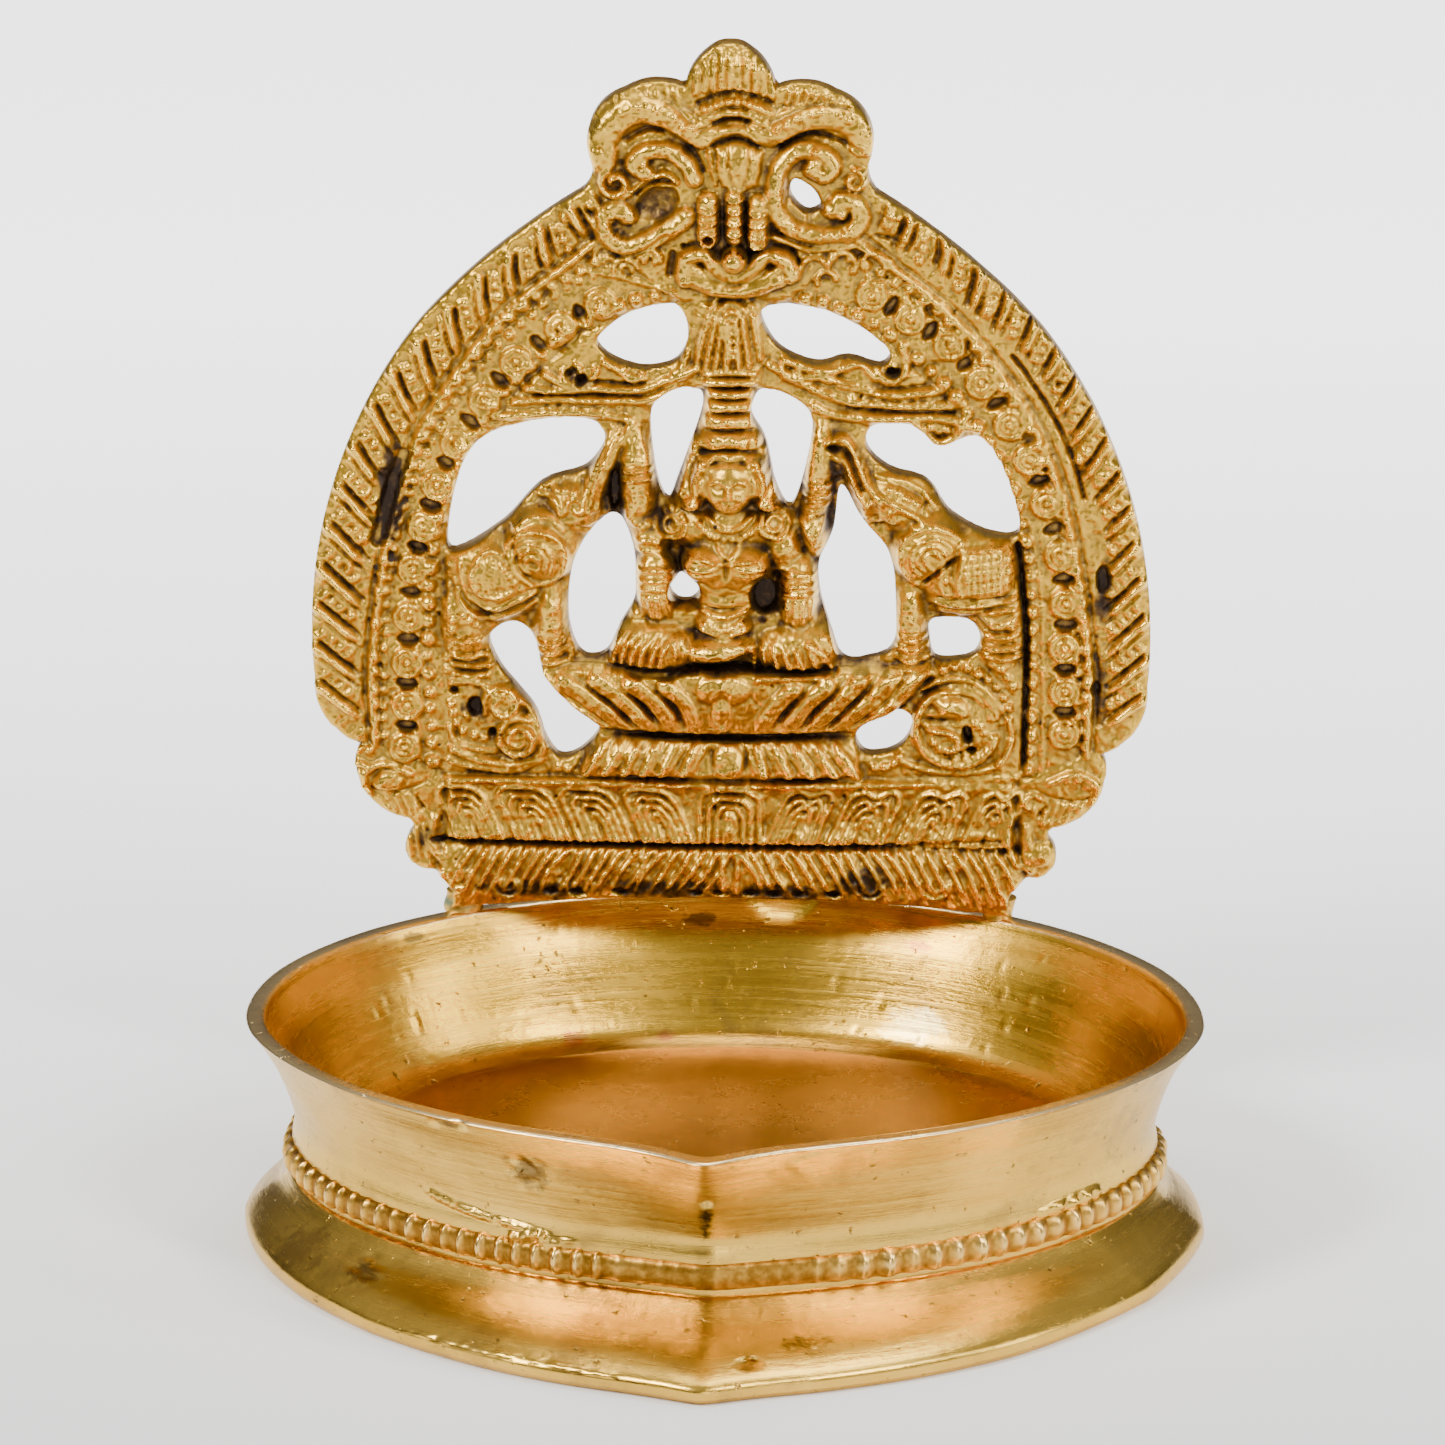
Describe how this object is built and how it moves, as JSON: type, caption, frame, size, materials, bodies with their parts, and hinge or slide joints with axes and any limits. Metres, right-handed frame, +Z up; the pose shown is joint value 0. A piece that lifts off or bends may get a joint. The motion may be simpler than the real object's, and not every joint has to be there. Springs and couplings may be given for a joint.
{
  "type": "diya oil lamp",
  "caption": "Almond-shaped brass oil bowl with a pointed spout on a flared hollow foot, with an upright pierced shrine plate brazed to its back rim.",
  "frame": {"origin": "on the table, under the middle of the lamp's plan", "axes": "+Z up, spout towards -Y, the plate's relief faces -Y, +X to the right as seen from the spout"},
  "size_m": [0.098, 0.0865, 0.1164],
  "materials": {
    "bowl_brass": "brushed, lightly worn, a few casting pits",
    "belt_brass": "cast, dark in the hollows",
    "plate_brass": "as cast, matt, darkened",
    "relief_brass": "cast relief, polished on the high points, dark patina in the hollows",
    "braze_metal": "run braze, smooth, slightly green at the edge"
  },
  "bodies": {
    "root": {"bowl_shell": "bowl_brass", "bead_belt": "belt_brass", "foot_skirt": "bowl_brass", "plate_web": "plate_brass", "leaf_border": "relief_brass", "bead_border": "relief_brass", "crest_mask": "relief_brass", "crest_fan": "relief_brass", "pendant": "relief_brass", "canopy_branches": "relief_brass", "seated_figure": "relief_brass", "lotus_seat": "relief_brass", "lotus_base": "relief_brass", "elephant_left": "relief_brass", "elephant_right": "relief_brass", "foliage_scroll_left": "relief_brass", "foliage_scroll_right": "relief_brass", "plinth_upper": "relief_brass", "plinth_lower": "relief_brass", "bracket_left": "relief_brass", "bracket_right": "relief_brass", "braze_left": "braze_metal", "braze_right": "braze_metal"}
  },
  "joints": []
}
